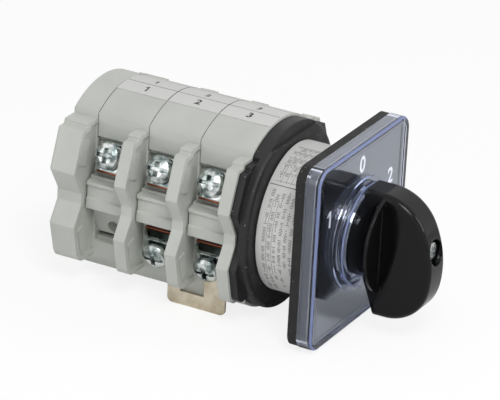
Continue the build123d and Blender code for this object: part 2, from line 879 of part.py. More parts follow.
def make_knob():
    """A D-shaped grip whose longer end is the tail, on a round base with a flared lip."""
    back = plate_front - knob_gap
    waist = back - knob_base_t
    nose_y, nose_end = grip_arc(grip_nose_r, grip_tip_z, 1)
    heel_y, heel_start = grip_arc(grip_heel_r, grip_tail_z, -1)
    with BuildPart() as knob:
        # Grip, drawn from the side and as wide as the bar
        with BuildSketch(Plane.YZ.offset(-grip_half_w)):
            with BuildLine():
                Polyline((waist, 0), (grip_tip_back_y, grip_tip_z), (nose_y, grip_tip_z))
                TangentArc((nose_y, grip_tip_z), nose_end, tangent=(-1, 0))
                ThreePointArc(nose_end, (grip_front_y, grip_front_z), heel_start)
                TangentArc((heel_y, grip_tail_z), heel_start, tangent=(-1, 0))
                Polyline(
                    (heel_y, grip_tail_z),
                    (grip_tail_back_y, grip_tail_z),
                    (waist, grip_tail_root_z),
                    (waist, 0),
                )
            make_face()
        extrude(amount=2 * grip_half_w)
        tail_corner = knob.edges().filter_by(Axis.X).group_by(Axis.Z)[0].sort_by(Axis.Y)[-1]
        fillet(tail_corner, grip_tail_corner_r)
        sides = [edge for edge in knob.edges() if abs(edge.center().X) > grip_half_w - seat_gap]
        rim = [edge for edge in sides if edge.center().Y < grip_tail_back_y or edge.center().Z > grip_tip_z - seat_gap]
        fillet(rim, grip_edge_r)
        with BuildSketch(Plane.XY):
            with BuildLine():
                base = Polyline((0, back), (knob_base_r, back), (knob_base_r, waist))
                flare = ThreePointArc(
                    base @ 1,
                    (knob_base_r + knob_flare, (waist + knob_deck_y + knob_lip_t) / 2),
                    (knob_lip_r, knob_deck_y + knob_lip_t),
                )
                Polyline(flare @ 1, (knob_lip_r, knob_deck_y), (0, knob_deck_y), base @ 0)
            make_face()
        revolve(axis=Axis.Y)
        # A shallow recess in the deck on both sides of the grip
        with BuildSketch(at(knob_deck_y)):
            Circle(knob_lip_r - deck_rim)
            Rectangle(2 * grip_half_w, 4 * knob_lip_r, mode=Mode.SUBTRACT)
        extrude(amount=-deck_recess, mode=Mode.SUBTRACT)
        with Locations(at(grip_front_y)):
            Hole(screw_well_r, depth=knob_screw_head_y + knob_screw_head_t - grip_front_y)
            Hole(knob_screw_core_r + hole_play, depth=-grip_front_y)
        with BuildSketch(at(shaft_front - seat_gap)):
            Rectangle(shaft_square + 2 * running_gap, shaft_square + 2 * running_gap)
        extrude(amount=shaft_front - seat_gap - back, mode=Mode.SUBTRACT)
    return knob.part


def make_headed_screw(under_head, head_r, head_t, shank_r, length, direction):
    """A pan-head screw along Y: direction 1 points its tip to the rear."""
    with BuildPart() as screw:
        with BuildSketch(at(under_head)):
            Circle(shank_r)
        extrude(amount=-direction * length)
        with BuildSketch(at(under_head)):
            Circle(head_r)
        extrude(amount=direction * head_t, taper=tip_taper)
        with BuildSketch(at(under_head - direction * head_t)):
            Rectangle(slot_w, head_r)
            Rectangle(head_r, slot_w)
        extrude(amount=-direction * slot_depth, mode=Mode.SUBTRACT)
    return screw.part


def make_panel_screw():
    """A countersunk screw whose head lies flush in the plate holder."""
    head_front = holder_front + seat_gap
    with BuildPart() as screw:
        with BuildSketch(at(head_front)):
            Circle(panel_screw_r)
        extrude(amount=-(panel_screw_depth - head_front + neck_front))
        with BuildSketch(at(head_front)):
            Circle(panel_screw_head_r)
        extrude(amount=-(panel_screw_head_r - panel_screw_r), taper=45)
        with BuildSketch(at(head_front)):
            Rectangle(slot_w, panel_screw_head_r)
            Rectangle(panel_screw_head_r, slot_w)
        extrude(amount=-slot_depth, mode=Mode.SUBTRACT)
    return screw.part


def make_link():
    """A flat link with two legs, below the lower left terminals of stages 2 and 3."""
    outer_x = -(body_half_w + running_gap + link_t)
    with BuildPart() as link:
        with BuildSketch(Plane.YZ.offset(outer_x)):
            with BuildLine():
                Polyline(
                    (link_front_y, link_low_z),
                    (link_rear_y, link_low_z),
                    (link_rear_y, link_top_z),
                    (stage_front(2) + barrier_t + loose_gap, link_top_z),
                    (stage_front(2) + barrier_t + loose_gap, link_notch_z),
                    (link_notch_front_y, link_notch_z),
                    (link_notch_front_y, link_top_z),
                    (link_front_y, link_top_z),
                    close=True,
                )
            make_face()
        extrude(amount=link_t)
        corners = link.edges().filter_by(Axis.X).group_by(Axis.Z)[0]
        fillet(corners, link_corner_r)
    return link.part


def write(piece, name):
    piece.label = name
    export_step(piece, f"parts/{name}.step")


# Housings
upper_only = (1,)
both_rows = (1, -1)
rows_of_stage = {1: upper_only, 2: both_rows, 3: both_rows}
for number in rows_of_stage:
    write(make_stage(number), f"stage_{number}_housing")
write(make_rear_cap(), "rear_cap")
write(make_latch_housing(), "latch_housing")

# Current path and moving contacts
row_names = {1: "upper", -1: "lower"}
side_names = {-1: "left", 1: "right"}
places = []
for number, levels in rows_of_stage.items():
    places += [(number, side, level) for level in levels for side in (-1, 1)]
for number, side, level in places:
    write(
        make_fixed_contact(number, side, level),
        f"fixed_contact_{number}_{row_names[level]}_{side_names[side]}",
    )
for number, levels in rows_of_stage.items():
    write(make_cam(number, len(levels) == 2), f"cam_{number}")
    for level in levels:
        write(make_plunger(number, level), f"plunger_{number}_{row_names[level]}")
        write(make_bridge(number, level), f"contact_bridge_{number}_{row_names[level]}")
        write(make_contact_spring(number, level), f"contact_spring_{number}_{row_names[level]}")

# Terminal hardware, one of each at every terminal
clamp_pattern = make_clamp()
screw_pattern = make_terminal_screw()
for number, levels in rows_of_stage.items():
    with BuildPart() as clamps:
        for level in levels:
            for side in (-1, 1):
                with Locations(terminal_plane(number, side, level)):
                    add(clamp_pattern)
    write(clamps.part, f"wire_clamps_{number}")
with BuildPart() as terminal_screws:
    for number, side, level in places:
        with Locations(terminal_plane(number, side, level)):
            add(screw_pattern)
write(terminal_screws.part, "terminal_screws")

# Shaft, detent and knob
write(make_shaft(), "shaft")
write(make_detent_wheel(), "detent_wheel")
write(make_detent_spring(1), "detent_spring_top")
write(make_detent_spring(-1), "detent_spring_bottom")
write(make_knob(), "knob")
write(
    make_headed_screw(
        knob_screw_head_y + knob_screw_head_t,
        knob_screw_head_r,
        knob_screw_head_t,
        knob_screw_core_r,
        -shaft_front / 3,
        1,
    ),
    "knob_screw",
)

# Front plate
write(make_gasket(), "panel_gasket")
write(make_plate_holder(), "plate_holder")
write(make_legend_plate(), "legend_plate")
write(make_cover(), "clear_front_plate")

# Labels
write(make_rating_label(), "rating_label")
write(make_marker_strip(), "marker_strip")

# Fasteners and link
with BuildPart() as tie_screws:
    tie_length = cap_rear - tie_counterbore - (flange_rear - tie_depth)
    pattern = make_headed_screw(cap_rear - tie_counterbore, tie_head_r, tie_head_t, tie_r, tie_length, -1)
    with Locations((-tie_x, 0, 0), (tie_x, 0, 0)):
        add(pattern)
write(tie_screws.part, "tie_screws")
with BuildPart() as panel_screws:
    pattern = make_panel_screw()
    half = panel_screw_pitch / 2
    with Locations(*[(x, 0, z) for x in (-half, half) for z in (-half, half)]):
        add(pattern)
write(panel_screws.part, "panel_screws")
write(make_link(), "jumper_link")
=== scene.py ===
"""Looks of the rotary cam switch: materials, print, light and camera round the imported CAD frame."""

import json
import math
import random

import bmesh
import bpy
from mathutils import Matrix, Vector


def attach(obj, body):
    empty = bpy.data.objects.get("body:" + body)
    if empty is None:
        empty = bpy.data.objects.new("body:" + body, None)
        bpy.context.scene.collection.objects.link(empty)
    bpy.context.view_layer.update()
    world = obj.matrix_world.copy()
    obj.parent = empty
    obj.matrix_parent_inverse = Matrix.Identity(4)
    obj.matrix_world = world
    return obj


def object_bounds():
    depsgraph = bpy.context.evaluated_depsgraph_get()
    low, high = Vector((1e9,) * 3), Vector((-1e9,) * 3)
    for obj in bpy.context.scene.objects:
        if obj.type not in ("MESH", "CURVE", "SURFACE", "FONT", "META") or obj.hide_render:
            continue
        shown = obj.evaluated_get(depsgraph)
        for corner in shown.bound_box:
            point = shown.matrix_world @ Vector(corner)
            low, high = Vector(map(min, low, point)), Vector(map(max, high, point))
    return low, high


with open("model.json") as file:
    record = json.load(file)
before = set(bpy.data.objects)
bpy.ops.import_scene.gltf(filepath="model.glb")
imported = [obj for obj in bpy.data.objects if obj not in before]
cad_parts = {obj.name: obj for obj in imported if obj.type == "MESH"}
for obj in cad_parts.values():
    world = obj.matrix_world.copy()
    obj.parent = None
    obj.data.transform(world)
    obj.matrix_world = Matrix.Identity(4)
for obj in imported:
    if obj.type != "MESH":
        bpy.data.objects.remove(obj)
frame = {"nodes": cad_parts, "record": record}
cad_box = [list(corner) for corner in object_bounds()]

MM = 0.001
BODY = "switch_body"

# Sizes repeated from the CAD, in millimetres
LABEL_R = 25.45
LABEL_FRONT = 0.5
LABEL_REAR = 16.6
LEGEND_Y = -6.75
BODY_R = 31.5
BODY_RISE = 1.5  # the round top is drawn from a centre this far above the axis
BODY_HALF_W = 18.6
BODY_HALF_ARC = 19.7
SHOULDER_Z = 26.92  # where the round top meets the flat side
SEAT_TOP_Z = 18.3
STRIP_R = 31.6
STRIP_HALF_W = 7.0
STAGE_FRONTS = (22.8, 42.2, 61.6)  # stages 3, 2 and 1
STAGE_PITCH = 19.4
CAP_FRONT = 81.0
JOINTS = (*STAGE_FRONTS[1:], CAP_FRONT)
BAR_END_X = 21.4
BAR_END_Z = 7.9
BAR_HALF_W = 5.95
BAR_OFFSET = 11.85  # from the stage's front to the middle of its bars
SLOPE = math.radians(22.2)  # the terminals lean by this
SLOPE_SIN = math.sin(SLOPE)
SLOPE_COS = math.cos(SLOPE)

# Sizes of the print, in millimetres
INK = 0.03
BAR_STEP = 1.0  # bars are cut this finely along a curve
SEAM_HALF = 0.11


# Nodes


def new_material(name, color, rough, metallic=0.0, specular=0.5):
    """A Principled material, returned with its node tree and its shader."""
    mat = bpy.data.materials.new(name)
    mat.use_nodes = True
    tree = mat.node_tree
    shader = tree.nodes["Principled BSDF"]
    shader.inputs["Base Color"].default_value = (*color, 1)
    shader.inputs["Roughness"].default_value = rough
    shader.inputs["Metallic"].default_value = metallic
    shader.inputs["Specular IOR Level"].default_value = specular
    return mat, tree, shader


def object_coords(tree):
    return tree.nodes.new("ShaderNodeTexCoord").outputs["Object"]


def noise(tree, scale, detail=3.0, stretch=None):
    """Noise over the object's own coordinates, in metres."""
    node = tree.nodes.new("ShaderNodeTexNoise")
    node.inputs["Scale"].default_value = scale
    node.inputs["Detail"].default_value = detail
    source = object_coords(tree)
    if stretch:
        mapping = tree.nodes.new("ShaderNodeMapping")
        mapping.inputs["Scale"].default_value = stretch
        tree.links.new(source, mapping.inputs["Vector"])
        source = mapping.outputs["Vector"]
    tree.links.new(source, node.inputs["Vector"])
    return node.outputs["Fac"]


def ramp(tree, source, stops):
    """Colours over a value: stops are (place, colour)."""
    node = tree.nodes.new("ShaderNodeValToRGB")
    elements = node.color_ramp.elements
    while len(elements) < len(stops):
        elements.new(0.5)
    for element, (place, color) in zip(elements, stops):
        element.position = place
        element.color = (*color, 1)
    tree.links.new(source, node.inputs["Fac"])
    return node.outputs["Color"]


def grey_ramp(tree, source, stops):
    return ramp(tree, source, [(place, (level, level, level)) for place, level in stops])


def span(tree, source, low, high, from_low=0.3, from_high=0.7):
    """A value mapped from one range to another. Most of a noise lies between 0.3 and 0.7."""
    node = tree.nodes.new("ShaderNodeMapRange")
    node.inputs["From Min"].default_value = from_low
    node.inputs["From Max"].default_value = from_high
    node.inputs["To Min"].default_value = low
    node.inputs["To Max"].default_value = high
    tree.links.new(source, node.inputs["Value"])
    return node.outputs["Result"]


def calc(tree, operation, *values):
    """A math node over numbers and sockets."""
    node = tree.nodes.new("ShaderNodeMath")
    node.operation = operation
    for socket, value in zip(node.inputs, values):
        if isinstance(value, (int, float)):
            socket.default_value = value
        else:
            tree.links.new(value, socket)
    return node.outputs["Value"]


def axes_of(tree, vector):
    node = tree.nodes.new("ShaderNodeSeparateXYZ")
    tree.links.new(vector, node.inputs["Vector"])
    return node.outputs


def face_normal(tree):
    return axes_of(tree, tree.nodes.new("ShaderNodeNewGeometry").outputs["True Normal"])


def blend(tree, share, first, second):
    """Set the surface to the first shader, and to the second as far as the share goes."""
    mix = tree.nodes.new("ShaderNodeMixShader")
    tree.links.new(share, mix.inputs["Fac"])
    tree.links.new(first, mix.inputs[1])
    tree.links.new(second, mix.inputs[2])
    tree.links.new(mix.outputs["Shader"], tree.nodes["Material Output"].inputs["Surface"])


def soft_shoulder(tree, base):
    """Normals that turn gradually from the body's round top to its flat side, and so below it."""
    low = 0.0190
    high = 0.0304
    place = axes_of(tree, object_coords(tree))
    across = calc(tree, "ABSOLUTE", place["X"])
    height = calc(tree, "ABSOLUTE", place["Z"])
    rise = span(tree, height, 0.0, 1.0, low, high)
    quarter_turns = grey_ramp(tree, rise, [(0.0, 1.0), (0.35, 0.93), (0.7, 0.63), (1.0, 0.261)])
    angle = calc(tree, "MULTIPLY", quarter_turns, math.pi / 2)
    outward = calc(tree, "MULTIPLY", calc(tree, "SINE", angle), calc(tree, "SIGN", place["X"]))
    upward = calc(tree, "MULTIPLY", calc(tree, "COSINE", angle), calc(tree, "SIGN", place["Z"]))
    turned = tree.nodes.new("ShaderNodeCombineXYZ")
    tree.links.new(outward, turned.inputs["X"])
    tree.links.new(upward, turned.inputs["Z"])

    # Only on the outer skin of the body between the two heights
    on_side = calc(tree, "GREATER_THAN", across, (BODY_HALF_W - 0.1) * MM)
    on_top = calc(tree, "GREATER_THAN", height, (SHOULDER_Z - 0.07) * MM)
    tests = (
        calc(tree, "LESS_THAN", calc(tree, "ABSOLUTE", face_normal(tree)["Y"]), 0.3),
        calc(tree, "LESS_THAN", across, (BODY_HALF_W + 0.12) * MM),
        calc(tree, "GREATER_THAN", height, low),
        calc(tree, "LESS_THAN", height, high),
        calc(tree, "MAXIMUM", on_side, on_top),
    )
    inside = 1.0
    for test in tests:
        inside = calc(tree, "MULTIPLY", inside, test)
    mix = tree.nodes.new("ShaderNodeMix")
    mix.data_type = "VECTOR"
    factor, first, second = mix.inputs[0], mix.inputs[4], mix.inputs[5]
    tree.links.new(inside, factor)
    tree.links.new(base, first)
    tree.links.new(turned.outputs["Vector"], second)
    return mix.outputs[1]


def relief(tree, shader, height, depth, edge=0.0, shoulder=False):
    """Bump from a height, over normals that are rounded along the edges."""
    bump = tree.nodes.new("ShaderNodeBump")
    bump.inputs["Distance"].default_value = depth
    tree.links.new(height, bump.inputs["Height"])
    if edge:
        bevel = tree.nodes.new("ShaderNodeBevel")
        bevel.samples = 6
        bevel.inputs["Radius"].default_value = edge
        normal = bevel.outputs["Normal"]
        if shoulder:
            normal = soft_shoulder(tree, normal)
        tree.links.new(normal, bump.inputs["Normal"])
    tree.links.new(bump.outputs["Normal"], shader.inputs["Normal"])


def shade(color, factor):
    return tuple(channel * factor for channel in color)


def mottle(tree, shader, source, color, darker, lighter):
    """Base colour that runs from a darker to a lighter tone."""
    stops = [(0.3, shade(color, darker)), (0.7, shade(color, lighter))]
    tree.links.new(ramp(tree, source, stops), shader.inputs["Base Color"])


def vary_gloss(tree, shader, source, rough, less, more):
    tree.links.new(span(tree, source, rough - less, rough + more), shader.inputs["Roughness"])


# Materials


def moulded(
    name,
    color,
    rough,
    grain=2500,
    depth=0.00002,
    spread=0.05,
    edge=0.0004,
    specular=0.5,
    shoulder=False,
):
    """Moulded plastic: faint mottling, a fine grain and softly rounded edges."""
    mat, tree, shader = new_material(name, color, rough, 0.0, specular)
    mottle(tree, shader, noise(tree, 60, 4), color, 1 - spread, 1 + spread)
    vary_gloss(tree, shader, noise(tree, 180, 3), rough, 0.05, 0.06)
    relief(tree, shader, noise(tree, grain, 2), depth, edge, shoulder)
    return mat


def dusty(name, color, rough):
    """Dark moulded plastic with a few specks of dust."""
    mat, tree, shader = new_material(name, color, rough, 0.0, 0.35)
    stops = [(0.0, color), (0.72, color), (0.78, (0.16, 0.16, 0.16))]
    tree.links.new(ramp(tree, noise(tree, 900, 1), stops), shader.inputs["Base Color"])
    vary_gloss(tree, shader, noise(tree, 150, 3), rough, 0.08, 0.08)
    relief(tree, shader, noise(tree, 2200, 2), 0.00003, 0.0004)
    return mat


def metal(name, color, rough, stretch=(1, 1, 1), tint=None):
    """Plated or rolled metal: fine streaks in its gloss, and patches of a second tone."""
    mat, tree, shader = new_material(name, color, rough, 1.0)
    stops = [(0.35, tint or shade(color, 0.82)), (0.62, color)]
    tree.links.new(ramp(tree, noise(tree, 220, 4), stops), shader.inputs["Base Color"])
    streaks = noise(tree, 1400, 3, stretch)
    vary_gloss(tree, shader, streaks, rough, 0.07, 0.1)
    relief(tree, shader, streaks, 0.000012, 0.0002)
    return mat


def zinc_plated(name):
    """Blue-white zinc plate. Its dark and bright patches are partly the plate's own uneven tone and
    partly painted reflection, and ambient occlusion paints shade into its recesses.
    """
    rough = 0.2
    mat, tree, shader = new_material(name, (0.5, 0.53, 0.54), rough, 1.0)
    # Patches partly of the plate's own tone, partly painted dark and bright reflection
    stops = [(0.36, (0.13, 0.17, 0.17)), (0.48, (0.38, 0.43, 0.42)), (0.64, (0.8, 0.83, 0.82))]
    # Painted shade: ambient occlusion darkens the colour in the recesses
    recess_shade = tree.nodes.new("ShaderNodeAmbientOcclusion")
    recess_shade.samples = 6
    recess_shade.inputs["Distance"].default_value = 0.001
    tree.links.new(ramp(tree, noise(tree, 330, 3), stops), recess_shade.inputs["Color"])
    tree.links.new(recess_shade.outputs["Color"], shader.inputs["Base Color"])
    vary_gloss(tree, shader, noise(tree, 1400, 3), rough, 0.06, 0.1)
    relief(tree, shader, noise(tree, 500, 2), 0.00003, 0.0003)
    return mat


def cut_plated(name, plating, copper):
    """Plated bar with bare copper on its cut edges: its sides along Y and its leaning end."""
    mat, tree, shader = new_material(name, plating, 0.3, 1.0)
    face = face_normal(tree)
    end = calc(tree, "COMPARE", calc(tree, "ABSOLUTE", face["X"]), SLOPE_SIN, 0.15)
    side = calc(tree, "COMPARE", calc(tree, "ABSOLUTE", face["Y"]), 1.0, 0.4)
    cut = calc(tree, "MAXIMUM", end, side)
    tree.links.new(ramp(tree, cut, [(0.4, plating), (0.6, copper)]), shader.inputs["Base Color"])
    relief(tree, shader, noise(tree, 1200, 3), 0.00001, 0.0002)
    return mat


def clear_plastic(name):
    """Clear moulding, tinted blue where light has a long way in it, with a painted blue edge glow on
    its rounded edges.
    """
    mat, tree, shader = new_material(name, (0.97, 0.98, 1.0), 0.02)
    shader.inputs["Transmission Weight"].default_value = 1.0
    shader.inputs["IOR"].default_value = 1.49
    relief(tree, shader, noise(tree, 45, 2), 0.00001)
    tint = tree.nodes.new("ShaderNodeVolumeAbsorption")
    tint.inputs["Color"].default_value = (0.35, 0.52, 0.95, 1)
    tint.inputs["Density"].default_value = 60
    tree.links.new(tint.outputs["Volume"], tree.nodes["Material Output"].inputs["Volume"])
    # Painted edge glow: a blue surface mixed in on the rounded edges, found by which way their faces
    # turn
    edge_glow = tree.nodes.new("ShaderNodeBsdfPrincipled")
    edge_glow.inputs["Base Color"].default_value = (0.42, 0.52, 0.95, 1)
    edge_glow.inputs["Roughness"].default_value = 0.2
    edge_glow.inputs["Transmission Weight"].default_value = 0.3
    facing = calc(tree, "ABSOLUTE", face_normal(tree)["Y"])
    rounded = grey_ramp(tree, facing, [(0.08, 0.0), (0.25, 0.6), (0.9, 0.6), (0.985, 0.0)])
    blend(tree, rounded, shader.outputs["BSDF"], edge_glow.outputs["BSDF"])
    return mat


def printed_sheet(name, color):
    """The legend: a smooth silvery film with a very fine grain."""
    mat, tree, shader = new_material(name, color, 0.12, 0.9)
    grain = noise(tree, 3000, 2)
    mottle(tree, shader, grain, color, 0.9, 1.08)
    relief(tree, shader, grain, 0.000001)
    return mat


def paper(name, color):
    mat, tree, shader = new_material(name, color, 0.6)
    fibres = noise(tree, 1800, 4)
    mottle(tree, shader, fibres, color, 0.95, 1.02)
    relief(tree, shader, fibres, 0.000008)
    return mat


def ink(name, color, metallic=0.0, rough=0.5, glow=0.0):
    """Printed ink. A glow stands in for the daylight that the clear cover lets through."""
    mat, tree, shader = new_material(name, color, rough, metallic)
    shader.inputs["Emission Color"].default_value = (*color, 1)
    shader.inputs["Emission Strength"].default_value = glow
    mottle(tree, shader, noise(tree, 2500, 2), color, 0.9, 1.1)
    return mat


GREY = (0.56, 0.575, 0.54)
PLATING = (0.42, 0.46, 0.44)
COPPER = (0.27, 0.095, 0.055)
TINNED = (0.76, 0.69, 0.56)
TARNISHED = (0.58, 0.51, 0.38)
looks = {
    "grey_plastic": moulded("grey moulding", GREY, 0.42, shoulder=True),
    "black_plastic": dusty("black moulding", (0.017, 0.017, 0.018), 0.5),
    "black_gloss": moulded(
        "black knob",
        (0.004, 0.004, 0.0045),
        0.14,
        grain=900,
        depth=0.000004,
        spread=0.0,
        edge=0.0006,
        specular=0.22,
    ),
    "rubber": dusty("rubber sheet", (0.014, 0.014, 0.014), 0.7),
    "clear_plastic": clear_plastic("clear cover"),
    "legend": printed_sheet("legend film", (0.3, 0.31, 0.32)),
    "paper": paper("label paper", (0.7, 0.705, 0.69)),
    "zinc": zinc_plated("zinc plate"),
    "copper": cut_plated("plated copper", PLATING, COPPER),
    "tinned": metal("tinned sheet", TINNED, 0.46, (0.2, 1, 3), tint=TARNISHED),
    "steel": metal("turned steel", (0.55, 0.56, 0.58), 0.3, (1, 0.1, 1)),
    "spring_steel": metal("spring strip", (0.5, 0.51, 0.54), 0.28, (0.1, 1, 1)),
    "white_plastic": moulded("natural plastic", (0.75, 0.75, 0.7), 0.4),
}
own_looks = {
    "plate_holder": dusty("grey holder", (0.13, 0.135, 0.15), 0.45),
    "knob_screw": metal("bright screw", (0.72, 0.75, 0.76), 0.25),
}
slot_of = {part["node"]: part["material_slot"] for part in frame["record"]["subparts"]}
for node_name, node in frame["nodes"].items():
    node.data.materials.clear()
    node.data.materials.append(own_looks.get(node_name, looks[slot_of[node_name]]))

black_ink = ink("black ink", (0.012, 0.012, 0.014))
white_ink = ink("white ink", (0.85, 0.85, 0.85), metallic=0.35, rough=0.15, glow=0.62)
copper_edge = metal("cut copper", COPPER, 0.32)
seam_shade = ink("seam shade", (0.07, 0.075, 0.07))


# Places on the surfaces that carry print, in metres. u and v run along the surface and w out
# of it, in millimetres.


def on_neck(u, v, w):
    """u round the neck from the top towards the left, v to the rear."""
    angle = u / LABEL_R
    radius = LABEL_R + w
    return Vector((-radius * math.sin(angle), v, radius * math.cos(angle))) * MM


def on_strip(u, v, w):
    """u straight across the strip, v to the rear."""
    radius = STRIP_R + w
    return Vector((u, v, BODY_RISE + math.sqrt(radius * radius - u * u))) * MM


def on_body(u, v, w):
    """u round the body's top from its middle, v to the rear."""
    angle = u / BODY_R
    radius = BODY_R + w
    return Vector((radius * math.sin(angle), v, BODY_RISE + radius * math.cos(angle))) * MM


def under_body(u, v, w):
    place = on_body(u, v, w)
    return Vector((place.x, place.y, -place.z))


def on_left_side(u, v, w):
    """u upwards on the body's flat side, v to the rear."""
    return Vector((-BODY_HALF_W - w, v, u)) * MM


def on_right_side(u, v, w):
    return Vector((BODY_HALF_W + w, v, u)) * MM


def on_legend(u, v, w):
    """u to the right, v upwards."""
    return Vector((u, LEGEND_Y - w, v)) * MM


# Pieces


def make_mesh(name, solids):
    """One mesh of closed solids. Each is a list of rings of points, joined by quads and capped."""
    verts = []
    faces = []
    for rings in solids:
        size = len(rings[0])
        first = len(verts)
        for ring in rings:
            verts.extend(ring)
        last = len(verts) - size
        for a in range(first, last, size):
            for j in range(size):
                k = (j + 1) % size
                faces.append((a + j, a + k, a + size + k, a + size + j))
        faces.append(tuple(range(first, first + size)))
        faces.append(tuple(range(last, last + size)))
    mesh = bpy.data.meshes.new(name)
    mesh.from_pydata(verts, [], faces)
    mesh.validate()
    return mesh


def add_piece(name, mesh, mat):
    """Turn the faces outwards and let the mesh ride on the body."""
    outward = bmesh.new()
    outward.from_mesh(mesh)
    bmesh.ops.recalc_face_normals(outward, faces=outward.faces)
    outward.to_mesh(mesh)
    outward.free()
    mesh.materials.clear()
    mesh.materials.append(mat)
    piece = bpy.data.objects.new(name, mesh)
    bpy.context.scene.collection.objects.link(piece)
    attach(piece, BODY)


def bars(name, rects, place, mat):
    """Flat bars of ink: rects are (u0, v0, u1, v1), cut along u so that they follow a curve."""
    solids = []
    for u0, v0, u1, v1 in rects:
        count = max(1, math.ceil((u1 - u0) / BAR_STEP))
        rings = []
        for i in range(count + 1):
            u = u0 + (u1 - u0) * i / count
            rings.append([place(u, v, w) for v, w in ((v0, 0), (v1, 0), (v1, INK), (v0, INK))])
        solids.append(rings)
    add_piece(name, make_mesh(name, solids), mat)


def figure_one(name, size, weight):
    """A figure 1: a stem, cut across so that it can follow a curve, and a slanted flag."""
    half = 0.04 * size + weight
    top = 0.365 * size
    cuts = 8
    stem = []
    for i in range(cuts + 1):
        v = -top + 2 * top * i / cuts
        stem.append(((-half, v), (half, v)))
    tip = -half - 0.18 * size
    tip_top = 0.6 * top
    flag = [
        ((tip, tip_top), (tip, tip_top - 1.7 * half)),
        ((-half, top), (-half, top - 1.9 * half)),
    ]
    solids = []
    for pairs in (stem, flag):
        rings = []
        for start, end in pairs:
            low, high = -INK / 2, INK / 2
            rings.append([(*start, low), (*end, low), (*end, high), (*start, high)])
        solids.append(rings)
    return make_mesh(name, solids)


def figure_mesh(name, text, size, weight):
    """A flat figure round the origin. The 1 is drawn here, since the font's has no flag."""
    if text == "1":
        return figure_one(name, size, weight)
    curve = bpy.data.curves.new(name, "FONT")
    curve.body = text
    curve.size = size
    curve.align_x = "CENTER"
    curve.align_y = "CENTER"
    curve.extrude = INK / 2
    curve.offset = weight
    curve.resolution_u = 4
    source = bpy.data.objects.new(name, curve)
    mesh = bpy.data.meshes.new_from_object(source)
    bpy.data.objects.remove(source)
    return mesh


def figures(name, items, place, mat, weight):
    """Numbers: items are (text, size, u, v, turn), turn in degrees. Weight thickens the strokes."""
    longest_edge = 0.7
    joined = bmesh.new()
    for text, size, u0, v0, turn in items:
        mesh = figure_mesh(name, text, size, weight)
        rotation = Matrix.Rotation(math.radians(turn), 4, "Z")
        mesh.transform(Matrix.Translation((u0, v0, INK / 2)) @ rotation)
        cut = bmesh.new()
        cut.from_mesh(mesh)
        long_edges = [edge for edge in cut.edges if edge.calc_length() > longest_edge]
        bmesh.ops.subdivide_edges(cut, edges=long_edges, cuts=4)
        bmesh.ops.triangulate(cut, faces=cut.faces)
        cut.to_mesh(mesh)
        cut.free()
        for vertex in mesh.vertices:
            vertex.co = place(*vertex.co)
        joined.from_mesh(mesh)
        bpy.data.meshes.remove(mesh)
    mesh = bpy.data.meshes.new(name)
    joined.to_mesh(mesh)
    joined.free()
    add_piece(name, mesh, mat)


# Legend: a figure at each position of the knob, by its degrees from the top and its distance
LEGEND_SIZE = 8.0
legend_items = []
for text, turn, radius in (("0", 0, 23.9), ("1", -60, 24.8), ("2", 60, 24.8)):
    angle = math.radians(turn)
    legend_items.append((text, LEGEND_SIZE, radius * math.sin(angle), radius * math.cos(angle), 0))
figures("legend_digits", legend_items, on_legend, white_ink, 0.15)

# Bare copper lips at the ends of the contact bars, their outline as (along the bar, out of it)
LIP = [
    (0.3, -0.8),
    (-0.3, -0.8),
    (-0.42, -0.6),
    (-0.46, -0.35),
    (-0.4, -0.1),
    (-0.2, 0.04),
    (0.3, 0.04),
]
LEVELS = ((1, -1), (1, -1), (1,))  # upper and lower bars in stages 3 and 2, upper ones in 1


def lip_ring(side, level, y):
    ring = []
    for along, out in LIP:
        x = BAR_END_X - along * SLOPE_SIN + out * SLOPE_COS
        z = BAR_END_Z + along * SLOPE_COS + out * SLOPE_SIN
        ring.append(Vector((side * x, y, level * z)) * MM)
    return ring


lips = []
for front, levels in zip(STAGE_FRONTS, LEVELS):
    middle = front + BAR_OFFSET
    for level in levels:
        for side in (-1, 1):
            lips.append([lip_ring(side, level, middle + end) for end in (-BAR_HALF_W, BAR_HALF_W)])
add_piece("bar_lips", make_mesh("bar_lips", lips), copper_edge)

# Marker strip: a line between the two rows, one across at each joint, and a number in each
# field, larger in the left row
STRIP_ROWS = ((4.4, -3.6), (3.4, 3.2))  # size of the numbers, place across
strip_lines = [(-0.09, STAGE_FRONTS[0] + 0.5, 0.09, CAP_FRONT - 0.5)]
for joint in STAGE_FRONTS[1:]:
    strip_lines.append((0.1 - STRIP_HALF_W, joint - 0.14, STRIP_HALF_W - 0.1, joint + 0.14))
bars("strip_lines", strip_lines, on_strip, black_ink)
strip_items = []
for text, front in zip("321", STAGE_FRONTS):
    for size, across in STRIP_ROWS:
        strip_items.append((text, size, across, front + STAGE_PITCH / 2, -90))
figures("strip_numbers", strip_items, on_strip, black_ink, 0.1)

# Dark seams where the mouldings meet
STRIP_SIDE = STRIP_HALF_W + 0.2
top_seams = []
for joint in JOINTS:
    top_seams.append((-BODY_HALF_ARC, joint - SEAM_HALF, -STRIP_SIDE, joint + SEAM_HALF))
    top_seams.append((STRIP_SIDE, joint - SEAM_HALF, BODY_HALF_ARC, joint + SEAM_HALF))
top_seams.append((-STRIP_SIDE, CAP_FRONT - 0.05, STRIP_SIDE, CAP_FRONT + 0.13))
bars("top_seams", top_seams, on_body, seam_shade)
side_seams = [(SEAT_TOP_Z, joint - 0.16, SHOULDER_Z, joint + 0.06) for joint in JOINTS]
bars("left_seams", side_seams, on_left_side, seam_shade)
bars("right_seams", side_seams, on_right_side, seam_shade)

